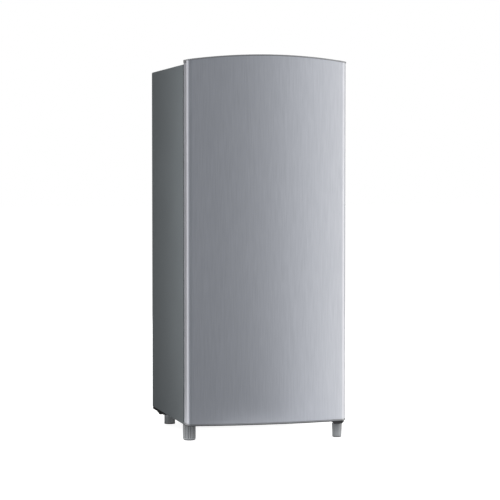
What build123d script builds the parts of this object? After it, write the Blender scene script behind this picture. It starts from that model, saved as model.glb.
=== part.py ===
from build123d import *
import math
import os

# Single door refrigerator, in millimetres. While it is built, X runs to the viewer's right, Y runs back from
# the front face of the cabinet and Z runs up from the floor. Every piece is then moved along Y so that the
# part's origin is on the floor under the middle of its overall box.

# Steel cabinet
cabinet_width = 500.0
cabinet_depth = 455.0
cabinet_top = 1138.0
cabinet_bottom = 53.0
sheet = 0.8
edge_radius = 4.0
front_return = 34.0
rear_return = 15.0
top_leg = 10.0
rail_sheet = 1.2
rail_depth = 60.0
rail_height = 33.0
back_panel_inset = 4.0
back_panel_drop = 8.0
back_panel_lap = 6.0

# Insulated walls, measured from the outside to the inner lining
side_wall = 41.5
top_wall = 44.0
back_wall = 55.0
floor_wall = 47.0
step_wall = 38.0
liner_wall = 1.6
liner_radius = 14.0

# Machine compartment, whose size follows from the compressor in it
machine_front_gap = 16.0
machine_back_gap = 22.0
machine_headroom = 17.0
base_plate_drop = 8.0
plate_sheet = 2.0
plate_lip = 22.0
plate_rear_lip = 11.0
plate_back_gap = 2.0

# Door
door_inset = 1.5
door_gap = 6.0
door_thickness = 46.0
door_bow = 23.3
door_corner_radius = 17.0
door_drop_gap = 3.0
door_rise = 12.0
door_crown = 16.7
door_return = 14.0
cap_rim = 4.0
cap_overhang = 1.5
cap_wall = 2.5
cap_depth_top = 25.0
cap_depth_bottom = 6.0
cap_skirt_left = 10.0
cap_skirt_right = 27.0
swing_gap = 0.5
grip_width = 130.0
grip_depth = 22.0
grip_height = 14.0
grip_drop = 6.0
grip_radius = 5.0

# Door lining, its upright ribs, the seal and the bins
rib_side_gap = 8.5
rib_width = 14.0
rib_reach = 26.0
rib_end_gap = 12.0
rib_rounding = 4.0
gasket_width = 14.0
gasket_inset = 17.0
gasket_low_lap = 18.0
gasket_high_lap = 17.0
gasket_compressed_gap = 0.3
gasket_dart = 3.0
gasket_dart_depth = 5.0
magnet_width = 8.0
magnet_thickness = 2.5
magnet_cover = 1.0
magnet_play = 0.1
bin_reach = 60.0
bin_side_gap = 4.5
bin_back_gap = 0.2
bin_wall = 2.2
bin_corner = 10.0
bin_guard = 9.0
bin_lip = 2.5
bin_lip_height = 8.0
bin_notch_share = 0.28
bin_guard_inset = 4 * bin_corner
bottle_bin_rise = 50.0
bottle_bin_height = 100.0
middle_bin_drop = 30.0
middle_bin_height = 78.0
upper_bin_rise = 60.0
upper_bin_height = 66.0
bin_peg = 8.0
bin_peg_front = 6.0

# Hinges
hinge_inset = 18.0
hinge_setback = 22.0
pin_radius = 4.0
pin_head = 3.0
lower_pin_head = 1.4
lower_pin_head_height = 2.0
running_gap = 0.05
hinge_plate = 3.0
hinge_plate_radius = 6.0
hinge_arm_half = 8.0
hinge_arm_reach = 46.0
upper_plate_far = 80.0
upper_plate_near = 24.0
upper_plate_front = 10.0
upper_plate_back = 62.0
cover_margin = 6.0
cover_side = 16.0
cover_wall = 2.0
cover_gap = 1.5
lower_plate_far = 72.0
lower_plate_edge = 3.0
lower_plate_overrun = 8.0
tongue_half = 20.0
tongue_offset = 5.0
tongue_reach = 14.0
lip_drop = 6.0
lip_half = 19.0
lip_foot_half = 12.5
lip_sheet = 2.0
bush_wall = 3.0
bush_flange = 3.0
bush_flange_gap = 0.3
pocket_gap = 2.0
pocket_sink = 1.0
pocket_height = 10.0
block_height = 18.0
screw_radius = 2.5
screw_head_radius = 5.0
screw_head_height = 3.0
screw_length = 14.0
upper_screws = ((-67.0, 24.0), (-67.0, 50.0), (-36.0, 37.0))
lower_screws = ((-54.0, 16.0), (-54.0, 46.0), (-18.0, 46.0))

# Feet and rollers
left_foot_inset = 26.2
left_foot_y = 35.2
left_foot_radius = 19.5
left_foot_gap = 4.0
left_foot_rounding = 5.5
flute_count = 16
flute_radius = 2.0
flute_low = 7.0
right_foot_inset = 18.6
right_foot_setback = 14.2
right_foot_radius = 15.5
right_foot_taper = 1.6
right_foot_gap = 11.0
right_foot_rounding = 3.0
stud_radius = 4.0
stud_length = 24.0
nut_radius = 8.5
nut_height = 11.0
nut_room = 0.5
rear_foot_inset = 47.0
rear_foot_back_gap = 46.0
rear_foot_radius = 17.5
rear_foot_collar = 8.0
rear_rib_count = 18
rear_rib_radius = 1.2
roller_inset = 25.0
roller_back_gap = 19.0
roller_radius = 15.0
roller_width = 14.0
roller_rounding = 2.0
roller_side_gap = 1.0
roller_drop = 3.0
roller_axle = 4.0
lug_thickness = 3.0
lug_half = 9.0
lug_drop = 8.0

# Freezer box and its flap
freezer_side_gap = 18.5
freezer_front = 75.0
freezer_back_gap = 13.0
freezer_height = 150.0
freezer_hanger = 4.0
freezer_wall = 2.0
freezer_corner = 12.0
hanger_radius = 9.0
hanger_inset = 40.0
frame_depth = 12.0
frame_band = 10.0
frame_drop = 4.0
flap_thickness = 11.0
flap_skin = 3.0
flap_gap = 1.5
flap_overlap = 4.0
flap_rim = 4.0
flap_hinge_offset = 6.0
flap_hinge_margin = 14.0
flap_play = 0.5
flap_pin_radius = 3.0
flap_lug_radius = 7.0
flap_lug_height = 4.0
flap_pull_inset = 8.0
flap_pull_width = 12.0
flap_pull_half = 38.0
flap_pull_reach = 9.0

# Trays, shelves and drawer
shelf_front = 72.0
shelf_back_gap = 12.0
shelf_side_gap = 5.0
shelf_glass = 4.0
shelf_drop = 55.0
shelf_spacing = 200.0
shelf_trim_height = 11.0
shelf_trim_depth = 12.0
shelf_trim_lead = 3.0
shelf_trim_lip = 2.0
shelf_trim_side = 1.0
ledge_reach = 9.0
ledge_height = 7.0
ledge_front = 4.0
ledge_back_gap = 20.0
cover_lift = 8.0
cover_setback = 6.0
tray_front = 69.0
tray_back_gap = 31.0
tray_height = 32.0
tray_side_gap = 17.0
tray_wall = 2.0
tray_corner = 10.0
tray_drop = 8.0
tray_rail = 3.0
tray_rail_front = 62.0
tray_rail_back = 4.0
tray_rail_play = 1.5
tray_pull_half = 60.0
tray_pull_reach = 6.0
tray_pull_height = 4.0
drawer_front = 75.0
drawer_back_gap = 7.0
drawer_side_gap = 13.5
drawer_height = 178.0
drawer_wall = 2.2
drawer_corner = 16.0
drawer_lip_inset = 30.0
drawer_lip = 5.0
drawer_lip_drop = 20.0
drawer_lip_wall = 2.0
runner_height = 3.6
runner_width = 12.0
runner_inset = 43.0
runner_front = 40.0
sliding_gap = 0.4

# Thermostat, lamp and door switch, on the right wall of the food space
housing_reach = 38.0
housing_front = 110.0
housing_length = 146.0
housing_drop = 45.0
housing_height = 100.0
housing_wall = 2.4
housing_rounding = 5.0
knob_radius = 23.0
knob_thickness = 14.0
knob_rounding = 2.0
knob_back = 40.0
knob_web = 1.6
knob_shaft_radius = 4.0
knob_shaft_length = 12.0
knob_grip_count = 24
knob_grip_radius = 1.2
shaft_wall_gap = 9.0
button_radius = 6.0
button_stem_radius = 2.0
button_stem_length = 16.0
button_proud = 4.5
button_travel = 4.0
button_rounding = 1.2
moving_gap = 0.4
lamp_back = 36.0
lamp_inset = 20.0
lamp_length = 62.0
lamp_radius = 10.0
lamp_cap_radius = 7.0
lamp_cap_length = 18.0
lamp_neck = 6.0
holder_wall = 3.0
holder_height = 12.0
holder_floor = 2.0
lamp_cover_reach = 8.0
lamp_cover_half = 24.0
lamp_cover_margin = 12.0
lamp_cover_wall = 2.0
lamp_cover_rounding = 6.0
switch_reach = 24.5
switch_front = 40.0
switch_length = 36.0
switch_height = 24.0
switch_drop = 14.0
switch_wall = 3.0
plunger_radius = 4.5
plunger_bury = 14.0
plunger_rounding = 1.5

# Compressor
compressor_x = 70.0
compressor_radius = 66.0
compressor_height = 148.0
compressor_rounding = 24.0
compressor_split = 86.0
compressor_wall = 3.0
mount_height = 17.0
seam_band = 2.5
seam_height = 7.0
foot_plate = 2.5
foot_plate_sink = 1.0
foot_plate_margin = 13.0
foot_plate_radius = 12.0
grommet_gap = 10.0
grommet_y = 52.0
grommet_radius = 10.0
grommet_neck = 7.0
grommet_collar = 9.0
grommet_collar_height = 4.0
bolt_radius = 3.0
washer_radius = 7.5
washer_thickness = 1.5
bolt_head_radius = 5.5
bolt_head_height = 4.0
shaft_radius = 8.0
shaft_below = 10.0
shaft_above = 6.0
crank_radius = 5.0
crank_height = 10.0
stator_gap = 11.0
stator_height = 46.0
stator_rise = 22.0
stator_wall = 23.0
motor_gap = 0.6
rotor_overrun = 2.0
pump_gap = 4.0
pump_height = 26.0
pump_radius = 38.0
pump_flange = 6.0
pump_flange_gap = 3.0
cylinder_reach = 56.0
cylinder_half = 16.0
post_radius = 3.0
post_gap = 4.5
post_below = 8.0
terminal_width = 52.0
terminal_height = 54.0
terminal_reach = 26.0
terminal_rise = 22.0
terminal_offset = 4.0
terminal_bury = 16.0
terminal_wall = 2.0
terminal_rounding = 4.0
pan_height = 24.0
pan_inset = 4.0
pan_wall = 2.0
pan_corner = 12.0

# Pipes, drier, drain and cord gland
line_depth = 28.0
bend = 14.0
pipe_bury = 0.5
suction_radius = 4.0
suction_gap = 39.0
suction_rise = 116.0
suction_entry = 70.0
discharge_rise = 108.0
discharge_gap = 62.0
discharge_offset = 30.0
capillary_radius = 1.2
capillary_gap = 99.0
capillary_bend = 9.0
capillary_drop = 22.0
capillary_climb = 30.0
capillary_depth = 24.0
capillary_entry = 60.0
drier_inset = 50.0
drier_back_gap = 15.0
drier_rise = 58.0
drier_length = 95.0
drier_radius = 8.0
drier_taper = 12.0
tail_bend = 10.0
tail_rise = 34.0
tail_inset = 20.0
drain_radius = 6.0
drain_bore = 4.5
drain_bend = 12.0
drain_rise = 54.0
drain_end = 8.0
gland_inset = 130.0
gland_rise = 19.0
gland_radius = 6.0
gland_bore = 3.75
gland_length = 16.0
gland_flange = 3.0
gland_nut = 2.0
gland_neck = 0.6
gland_tab_half = 28.0
gland_tab_rise = 9.0

# Condenser on the back
condenser_standoff = 18.0
condenser_pipe = 2.5
condenser_inset = 38.0
condenser_rise = 47.0
condenser_top_gap = 90.0
condenser_passes = 12
wire_radius = 0.8
wire_count = 34
wire_overrun = 14.0
wire_side_gap = 16.0
riser_inset = 8.0
bracket_inset = 12.0
bracket_width = 8.0
bracket_half = 7.0
bracket_foot = 2.0
bracket_foot_half = 16.0

# Places that follow from the sizes above
half_width = cabinet_width / 2
panel_inside = half_width - sheet
inner_half = half_width - side_wall
inner_top = cabinet_top - top_wall
inner_back = cabinet_depth - back_wall
inner_floor = cabinet_bottom + floor_wall
base_top = cabinet_bottom + rail_sheet + sheet
back_face = cabinet_depth + sheet

plate_low = cabinet_bottom - base_plate_drop
plate_top = plate_low + plate_sheet
plate_back = cabinet_depth - plate_back_gap
compressor_y = cabinet_depth - machine_back_gap - compressor_radius
compressor_seat = plate_top + mount_height
compressor_top = compressor_seat + compressor_height
split_z = compressor_seat + compressor_split
machine_front = compressor_y - compressor_radius - machine_front_gap
machine_top = compressor_top + pan_height + machine_headroom
step_front = machine_front - step_wall
step_top = machine_top + step_wall

door_half = half_width - door_inset
door_bottom = cabinet_bottom + door_drop_gap
door_corner_top = cabinet_top + door_rise
door_back = -door_gap
door_edge = -(door_gap + door_thickness)
door_seat = door_back - sheet
lining_back = door_seat - liner_wall
rim_bottom = door_bottom + cap_rim
liner_low = rim_bottom + cap_depth_bottom
liner_high = door_corner_top - cap_depth_top
arch_radius = (half_width ** 2 + door_crown ** 2) / (2 * door_crown)
arch_centre = door_corner_top + door_crown - arch_radius

hinge_x = half_width - hinge_inset
hinge_y = door_back - hinge_setback
pocket_low = cabinet_top - pocket_sink
pocket_high = pocket_low + pocket_height
pocket_front = hinge_y - hinge_arm_half - pocket_gap
pocket_left = hinge_x - hinge_arm_half * math.sqrt(2) - hinge_setback - pocket_gap
bush_radius = pin_radius + running_gap + bush_wall
swing_radius = -hinge_y - swing_gap
gasket_outer = half_width - gasket_inset
gasket_low = cabinet_bottom + rail_height - gasket_low_lap
gasket_high = cabinet_top - front_return + gasket_high_lap
rib_outer = inner_half - rib_side_gap
rib_inner = rib_outer - rib_width

left_foot_x = left_foot_inset - half_width
left_foot_height = cabinet_bottom - left_foot_gap
right_foot_x = half_width - right_foot_inset
right_foot_y = hinge_y + right_foot_setback
right_foot_height = cabinet_bottom - right_foot_gap
rear_foot_x = half_width - rear_foot_inset
rear_foot_y = cabinet_depth - rear_foot_back_gap
roller_x = half_width - roller_inset
roller_y = cabinet_depth - roller_back_gap
roller_z = plate_low - roller_drop
roller_slot = roller_width / 2 + roller_side_gap

freezer_half = inner_half - freezer_side_gap
freezer_back = inner_back - freezer_back_gap
freezer_top = inner_top - freezer_hanger
freezer_low = freezer_top - freezer_height
frame_low = freezer_low - frame_drop
flap_low = frame_low + flap_lug_height + flap_play
flap_high = freezer_top - flap_lug_height - flap_play
flap_back = freezer_front - frame_depth - flap_gap
flap_front = flap_back - flap_thickness
flap_y = flap_back - flap_thickness / 2
flap_x = freezer_half + flap_hinge_offset

tray_low = freezer_low - tray_drop - tray_height
tray_back = inner_back - tray_back_gap
drawer_low = inner_floor + runner_height + sliding_gap
drawer_half = inner_half - drawer_side_gap
cover_z = step_top + cover_lift
housing_low = tray_low - housing_drop - housing_height
housing_x = inner_half - housing_reach
upper_shelf = housing_low - shelf_drop
shelf_heights = (upper_shelf - shelf_spacing, upper_shelf)
bins = {
    "bottle_bin": (inner_floor + bottle_bin_rise, bottle_bin_height),
    "middle_bin": (shelf_heights[0] - middle_bin_drop, middle_bin_height),
    "upper_bin": (shelf_heights[1] + upper_bin_rise, upper_bin_height),
}
knob_y = housing_front + knob_back
knob_z = housing_low + housing_height / 2
knob_seat = housing_x - moving_gap
knob_front = knob_seat - knob_thickness
lamp_y = housing_front + housing_length - lamp_back
lamp_x = inner_half - lamp_inset
lamp_low = housing_low + housing_wall + holder_floor
plunger_x = rib_outer - rib_width / 2
plunger_z = tray_low - switch_drop - switch_height / 2

grommet_x = compressor_radius + grommet_gap
foot_plate_low = compressor_seat - foot_plate_sink
foot_plate_top = foot_plate_low + foot_plate
stator_radius = compressor_radius - compressor_wall - stator_gap
stator_low = compressor_seat + stator_rise
stator_top = stator_low + stator_height
rotor_radius = stator_radius - stator_wall
pump_low = stator_top + pump_gap
pump_top = pump_low + pump_height
post_ring = stator_radius + post_gap
pan_half = compressor_radius - pan_inset

line_y = inner_back + line_depth
suction_x = compressor_x + compressor_radius + suction_gap
capillary_x = compressor_x - compressor_radius - capillary_gap
drier_x = drier_inset - half_width
drier_y = cabinet_depth - drier_back_gap
drier_low = plate_top + drier_rise
drier_top = drier_low + drier_length
drain_height = step_top + drain_rise
gland_x = gland_inset - half_width
gland_height = plate_top + gland_rise
gland_front = plate_back - plate_sheet

condenser_y = back_face + condenser_standoff
condenser_half = half_width - condenser_inset
condenser_low = machine_top + condenser_rise
condenser_high = cabinet_top - condenser_top_gap
condenser_pitch = (condenser_high - condenser_low) / (condenser_passes - 1)
condenser_turn = condenser_half - condenser_pitch / 2
riser_x = riser_inset - half_width
rear_reach = condenser_y + condenser_pipe + 2 * wire_radius
front_reach = door_edge - door_bow - cap_overhang
middle_y = (front_reach + rear_reach) / 2
FAR = 4000.0


def block(x, y, z):
    """Box between the low and high value given for each axis."""
    middle = (sum(x) / 2, sum(y) / 2, sum(z) / 2)
    return Pos(*middle) * Box(x[1] - x[0], y[1] - y[0], z[1] - z[0])


def upright(radius, x, y, z):
    """Cylinder that stands between two heights."""
    return Pos(x, y, sum(z) / 2) * Cylinder(radius, z[1] - z[0])


def along_x(radius, x, y, z):
    """Cylinder that lies along X between two places."""
    return Pos(sum(x) / 2, y, z) * Rot(0, 90, 0) * Cylinder(radius, x[1] - x[0])


def along_y(radius, x, y, z):
    """Cylinder that lies along Y between two places."""
    return Pos(x, sum(y) / 2, z) * Rot(90, 0, 0) * Cylinder(radius, y[1] - y[0])


def on_side(side, low, high):
    """Low and high X of a piece that lies between two distances from the middle, on one side."""
    return sorted((side * low, side * high))


def mirrored(shape):
    """The shape and its mirror image in the middle plane."""
    return shape + mirror(shape, Plane.YZ)


def soft_box(x, y, z, radius):
    """Box with rounded upright edges."""
    solid = block(x, y, z)
    return fillet(solid.edges().filter_by(Axis.Z), radius)


def soft_box_y(x, y, z, radius):
    """Box whose edges along Y are rounded."""
    solid = block(x, y, z)
    return fillet(solid.edges().filter_by(Axis.Y), radius)


def tub(x, y, z, wall, radius):
    """Open tub with rounded upright corners."""
    inside = soft_box((x[0] + wall, x[1] - wall), (y[0] + wall, y[1] - wall), (z[0] + wall, z[1] + wall),
                      max(radius - wall, wall / 2))
    return soft_box(x, y, z, radius) - inside


def pipe(points, radius, turn):
    """Round pipe along straight runs joined by arcs."""
    path = FilletPolyline(*points, radius=turn)
    section = Plane(origin=path @ 0, z_dir=path % 0) * Circle(radius)
    return sweep(section, path=path)


def save(name, shape):
    """Write one piece, moved so that the part's origin is under the middle of its box."""
    placed = Pos(0, -middle_y, 0) * shape
    solids = placed.solids()
    whole = solids[0] if len(solids) == 1 else Compound(children=list(solids))
    whole.label = name
    export_step(whole, f"parts/{name}.step")


def cavity(grow):
    """Space inside the lining, stepped over the machine compartment and grown on every wall."""
    low = inner_floor - grow
    high = inner_top + grow
    back = inner_back + grow
    outline = Polyline((-1, low), (step_front + grow, low), (step_front + grow, step_top - grow),
                       (back, step_top - grow), (back, high), (-1, high), close=True)
    profile = Plane.YZ.offset(-inner_half - grow) * make_face(outline)
    solid = extrude(profile, 2 * (inner_half + grow))
    deep = [e for e in solid.edges() if e.center().Y > 1 and abs(e.center().X) > 1]
    return fillet(deep, liner_radius + grow)


def arch_height(x, drop):
    return arch_centre + math.sqrt((arch_radius - drop) ** 2 - x ** 2)


def under_arch(drop, low):
    """Everything under the door's arched top, less a drop, and above a height."""
    reach = half_width + 20
    side = arch_height(reach, drop)
    arc = ThreePointArc((-reach, side), (0, arch_height(0, drop)), (reach, side))
    rest = Polyline((reach, side), (reach, low), (-reach, low), (-reach, side))
    face = Plane.XZ * make_face(arc + rest)
    return extrude(face, FAR, both=True)


def door_plan(inset):
    """Door outline from above: flat at the back, round at the sides and bowed at the front."""
    half = door_half - inset
    back = door_back - inset
    edge = door_edge + inset
    front = ThreePointArc((-half, edge), (0, edge - door_bow), (half, edge))
    rest = Polyline((half, edge), (half, back), (-half, back), (-half, edge))
    face = make_face(front + rest)
    corners = [v for v in face.vertices() if v.Y < edge + 0.01]
    return fillet(corners, door_corner_radius - inset)


def door_block(inset, low, high=FAR):
    """The door's outline as a solid between two heights."""
    return extrude(Pos(0, 0, low) * door_plan(inset), high - low)


def hinge_screws():
    """The screws of both hinges: the upper ones go down, the lower ones go up."""
    top = cabinet_top + hinge_plate
    low = cabinet_bottom - hinge_plate
    solids = []
    for across, y in upper_screws:
        x = hinge_x + across
        shank = upright(screw_radius, x, y, (top - screw_length, top))
        solids.append(shank + upright(screw_head_radius, x, y, (top, top + screw_head_height)))
    for across, y in lower_screws:
        x = hinge_x + across
        shank = upright(screw_radius, x, y, (low, low + screw_length))
        solids.append(shank + upright(screw_head_radius, x, y, (low - screw_head_height, low)))
    return solids


def screw_shanks():
    """One shape of all the hinge screws, for cutting their holes."""
    whole = hinge_screws()
    shape = whole[0]
    for extra in whole[1:]:
        shape = shape + extra
    return shape


def hinge_arm(extra, low, high):
    """Arm of the upper hinge, from the pin back to the plate at 45 degrees."""
    half = hinge_arm_half + extra
    tip = Pos(hinge_x, hinge_y) * Circle(half)
    root = Pos(hinge_x - hinge_arm_reach, hinge_y + hinge_arm_reach) * Circle(half)
    outline = make_hull((tip + root).edges())
    return extrude(Pos(0, 0, low) * outline, high - low)


def upper_hinge_bracket():
    high = cabinet_top + hinge_plate
    plate = soft_box((hinge_x - upper_plate_far, hinge_x - upper_plate_near),
                     (upper_plate_front, upper_plate_back), (cabinet_top, high), hinge_plate_radius)
    pin = upright(pin_radius, hinge_x, hinge_y, (cabinet_top - 1, high + 1))
    return plate + hinge_arm(0, cabinet_top, high) - pin - screw_shanks()


def upper_hinge_cover():
    high = door_corner_top - cover_gap
    left = hinge_x - upper_plate_far - cover_margin
    right = hinge_x - upper_plate_near + cover_side
    front = upper_plate_front - cover_margin + 1
    back = upper_plate_back + cover_margin
    outer = soft_box((left, right), (front, back), (cabinet_top, high), hinge_plate_radius + cover_wall)
    outer = fillet(outer.faces().sort_by(Axis.Z)[-1].edges(), cover_wall + 1)
    inside = soft_box((left + cover_wall, right - cover_wall), (front + cover_wall, back - cover_wall),
                      (cabinet_top, high - cover_wall), hinge_plate_radius)
    return outer - inside - hinge_arm(1, cabinet_top, cabinet_top + hinge_plate + 1)


def lower_hinge_bracket():
    low = cabinet_bottom - hinge_plate
    front = hinge_y - tongue_reach
    plate = soft_box((hinge_x - lower_plate_far, half_width - lower_plate_edge),
                     (lip_sheet, rail_depth + lower_plate_overrun), (low, cabinet_bottom), hinge_plate_radius)
    middle = hinge_x - tongue_offset
    tongue = soft_box((middle - tongue_half, middle + tongue_half), (front, lip_sheet + hinge_plate_radius),
                      (low, cabinet_bottom), hinge_plate_radius)
    outline = Polygon((-lip_half, 0), (lip_half, 0), (lip_foot_half, -lip_drop), (-lip_foot_half, -lip_drop),
                      align=None)
    lip = extrude(Plane.XZ.offset(-front - lip_sheet) * Pos(middle, low) * outline, lip_sheet)
    nut = upright(nut_radius, right_foot_x, right_foot_y, (right_foot_height + 1, low))
    stud = upright(stud_radius + running_gap, right_foot_x, right_foot_y, (0, cabinet_bottom + 1))
    pin = upright(pin_radius, hinge_x, hinge_y, (0, cabinet_bottom + 1))
    return plate + tongue + lip + nut - stud - pin - screw_shanks()


def hinge_pins():
    upper_top = cabinet_top + hinge_plate
    upper = upright(pin_radius, hinge_x, hinge_y, (pocket_low - block_height + 1, upper_top))
    upper += upright(pin_radius + pin_head, hinge_x, hinge_y, (upper_top, upper_top + pin_head))
    low = cabinet_bottom - hinge_plate
    lower = upright(pin_radius, hinge_x, hinge_y, (low, door_bottom + block_height - 1))
    lower += upright(pin_radius + lower_pin_head, hinge_x, hinge_y, (low - lower_pin_head_height, low))
    return [upper, lower]


def bush_bodies():
    """The two bushes without their bores."""
    upper = upright(bush_radius, hinge_x, hinge_y, (pocket_low - block_height, pocket_low))
    lower = upright(bush_radius, hinge_x, hinge_y, (door_bottom, door_bottom + block_height))
    return upper, lower


def hinge_bushes():
    bore = upright(pin_radius + running_gap, hinge_x, hinge_y, (0, FAR))
    flange_low = cabinet_bottom + bush_flange_gap
    upper, lower = bush_bodies()
    lower += upright(bush_radius + bush_flange, hinge_x, hinge_y, (flange_low, door_bottom))
    return [upper - bore, lower - bore]


def hinge_room():
    """Hollow in the door's top that leaves the hinge arm room to turn, with the holes for the bushes."""
    upper, lower = bush_bodies()
    pocket = block((pocket_left, FAR), (pocket_front, FAR), (pocket_low, pocket_high))
    return pocket + upper + lower


def swing_corner():
    """What the door's rear corner leaves free to swing past the cabinet."""
    corner = block((hinge_x, FAR), (hinge_y, FAR), (0, FAR))
    return corner - upright(swing_radius, hinge_x, hinge_y, (0, FAR))


def door_skin():
    shell = door_block(0, rim_bottom) - door_block(sheet, rim_bottom)
    opening = door_half - door_return
    shell -= block((-opening, opening), (door_back - 2 * sheet, FAR), (0, FAR))
    notch = block((0, FAR), (pocket_front, FAR), (pocket_low, FAR))
    return (shell & under_arch(cap_rim, rim_bottom)) - notch


def cap_ring(low, high):
    """Inner wall of a cap, against the skin."""
    return door_block(sheet, low, high) - door_block(sheet + cap_wall, low, high)


def end_skirt(side, height):
    """Thin plate of the top cap that runs down one side of the door."""
    strip = door_block(-cap_overhang, door_corner_top - height) - door_block(0, 0)
    outer = block(on_side(side, 0, FAR), (door_edge + door_corner_radius, door_back), (0, FAR))
    return strip & outer & under_arch(0, 0)


def door_top_cap():
    rim = (door_block(-cap_overhang, liner_high) & under_arch(0, liner_high)) - under_arch(cap_rim, 0)
    ring = cap_ring(liner_high, FAR) & under_arch(cap_rim, liner_high)
    inside = door_block(sheet, 0) & under_arch(cap_rim, 0)
    lump = block((pocket_left - cap_wall, FAR), (pocket_front - cap_wall, FAR),
                 (pocket_low - block_height, FAR))
    lump = (lump & inside) - block((0, FAR), (lining_back, FAR), (0, liner_high))
    grip_low = door_corner_top + door_crown - cap_rim - grip_height - grip_drop
    grip_half = grip_width / 2
    scoop = soft_box((-grip_half, grip_half), (door_back - grip_depth, door_back + grip_depth),
                     (grip_low, grip_low + grip_height), grip_radius)
    shell = soft_box((-grip_half - cap_wall, grip_half + cap_wall),
                     (door_seat - grip_depth - cap_wall, door_seat),
                     (grip_low - cap_wall, grip_low + grip_height + cap_wall), grip_radius)
    skirts = end_skirt(-1, cap_skirt_left) + end_skirt(1, cap_skirt_right)
    cap = rim + ring + lump + (shell & inside) + skirts
    return cap - hinge_room() - scoop - swing_corner()


def door_bottom_cap():
    rim = door_block(-cap_overhang, door_bottom, rim_bottom)
    ring = cap_ring(rim_bottom, liner_low)
    reach = bush_radius + 2 * cap_wall
    lump = block((hinge_x - reach, FAR), (hinge_y - reach, FAR), (rim_bottom, door_bottom + block_height))
    lump = (lump & door_block(sheet, 0)) - block((0, FAR), (lining_back - gasket_dart_depth, FAR), (0, FAR))
    return rim + ring + lump - hinge_room() - swing_corner()


def gasket_ring(inner, outer, y):
    """Rectangular ring between two distances measured in from the gasket's outer edge."""
    def frame(inset):
        x = gasket_outer - inset
        return soft_box_y((-x, x), y, (gasket_low + inset, gasket_high - inset), gasket_width + 2 - inset)
    return frame(outer) - frame(inner)


def dart_ring(wall):
    """Rib of the seal that sits in a groove of the door lining, grown by a wall."""
    middle = gasket_width / 2
    reach = gasket_dart / 2 + wall
    return gasket_ring(middle + reach, middle - reach, (door_seat - gasket_dart_depth - wall, door_seat))


def magnet_ring(play):
    """The magnet inside the seal, smaller all round by a play."""
    inset = (gasket_width - magnet_width) / 2 + play
    front = -gasket_compressed_gap - magnet_cover
    return gasket_ring(gasket_width - inset, inset, (front - magnet_thickness, front))


def door_gasket():
    seal = gasket_ring(gasket_width, 0, (door_seat, -gasket_compressed_gap))
    return seal + dart_ring(0) - magnet_ring(0)


def door_liner():
    face = door_half - sheet
    low = inner_floor + rib_end_gap
    high = inner_top - rib_end_gap
    rib = soft_box((rib_inner, rib_outer), (lining_back, rib_reach), (low, high), rib_rounding)
    rib = fillet(rib.faces().sort_by(Axis.Y)[-1].edges().filter_by(Axis.X), rib_rounding)
    hollow = block((rib_inner + liner_wall, rib_outer - liner_wall),
                   (lining_back, rib_reach - 2 * liner_wall), (low + liner_wall, high - liner_wall))
    liner = block((-face, face), (lining_back, door_seat), (liner_low, liner_high))
    liner = liner - mirrored(hollow) + mirrored(rib - hollow)
    for foot, _ in bins.values():
        liner += mirrored(block((rib_inner - bin_side_gap - bin_peg, rib_inner), (bin_peg_front, rib_reach),
                                (foot - bin_peg, foot)))
    return liner + dart_ring(liner_wall) - dart_ring(0)


def door_insulation(others):
    foam = door_block(sheet, rim_bottom) & under_arch(cap_rim, rim_bottom)
    foam -= block((-FAR, FAR), (lining_back, FAR), (0, FAR))
    low = inner_floor + rib_end_gap + liner_wall
    high = inner_top - rib_end_gap - liner_wall
    core = block((rib_inner + liner_wall, rib_outer - liner_wall),
                 (lining_back - 1, rib_reach - 2 * liner_wall), (low, high))
    foam += mirrored(core)
    for other in others:
        foam -= other
    foam = foam - hinge_room()
    return foam.solids().sort_by(SortBy.VOLUME)[-1]


def door_bin(low, height):
    side = rib_inner - bin_side_gap
    top = low + height
    body = tub((-side, side), (door_seat + bin_back_gap, bin_reach), (low, top), bin_wall, bin_corner)
    guard = side - bin_guard_inset
    notch = block((-guard, guard), (bin_reach - bin_wall - 1, bin_reach + bin_guard),
                  (top - height * bin_notch_share, FAR))
    lip_side = side - bin_corner - bin_wall
    lip = block((-lip_side, lip_side), (bin_reach, bin_reach + bin_lip), (top - bin_lip_height, top))
    return body + lip - notch


def side_panel():
    high = cabinet_top - top_leg
    wall = block((-half_width, -panel_inside), (0, cabinet_depth), (cabinet_bottom, high))
    front = block((-half_width, -half_width + front_return), (0, sheet), (cabinet_bottom, high))
    back = block((-half_width, -half_width + rear_return), (cabinet_depth - sheet, cabinet_depth),
                 (machine_top, high))
    return wall + front + back


def roof_profile(inset, low):
    """Section of the cabinet's top with its rounded edges."""
    half = half_width - inset
    high = cabinet_top - inset
    face = make_face(Polyline((-half, low), (half, low), (half, high), (-half, high), close=True))
    corners = [v for v in face.vertices() if v.Y > high - 0.01]
    return Plane.XZ * fillet(corners, edge_radius - inset)


def roof_block(inset, low, y):
    return extrude(Pos(0, y[1], 0) * roof_profile(inset, low), y[1] - y[0])


def top_panel():
    low = cabinet_top - top_leg
    shell = roof_block(0, low, (0, cabinet_depth)) - roof_block(sheet, low, (0, cabinet_depth))
    ends = roof_block(sheet, low, (0, sheet)) + roof_block(sheet, low, (cabinet_depth - sheet, cabinet_depth))
    half = half_width - front_return
    front = block((-half, half), (0, sheet), (cabinet_top - front_return, low))
    return shell + ends + front - screw_shanks()


def back_panel():
    half = half_width - back_panel_inset
    return block((-half, half), (cabinet_depth, back_face), (machine_top - back_panel_lap,
                                                             cabinet_top - back_panel_drop))


def base_panel():
    low = cabinet_bottom + rail_sheet
    x = (-panel_inside, panel_inside)
    wall_y = (machine_front - sheet, machine_front)
    under = block(x, (sheet + rail_sheet, machine_front), (low, base_top))
    wall = block(x, wall_y, (low, machine_top + sheet))
    roof = block(x, (wall_y[0], cabinet_depth - sheet), (machine_top, machine_top + sheet))
    return under + wall + roof - stud_pocket() - screw_shanks() - pipes_through()


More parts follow.
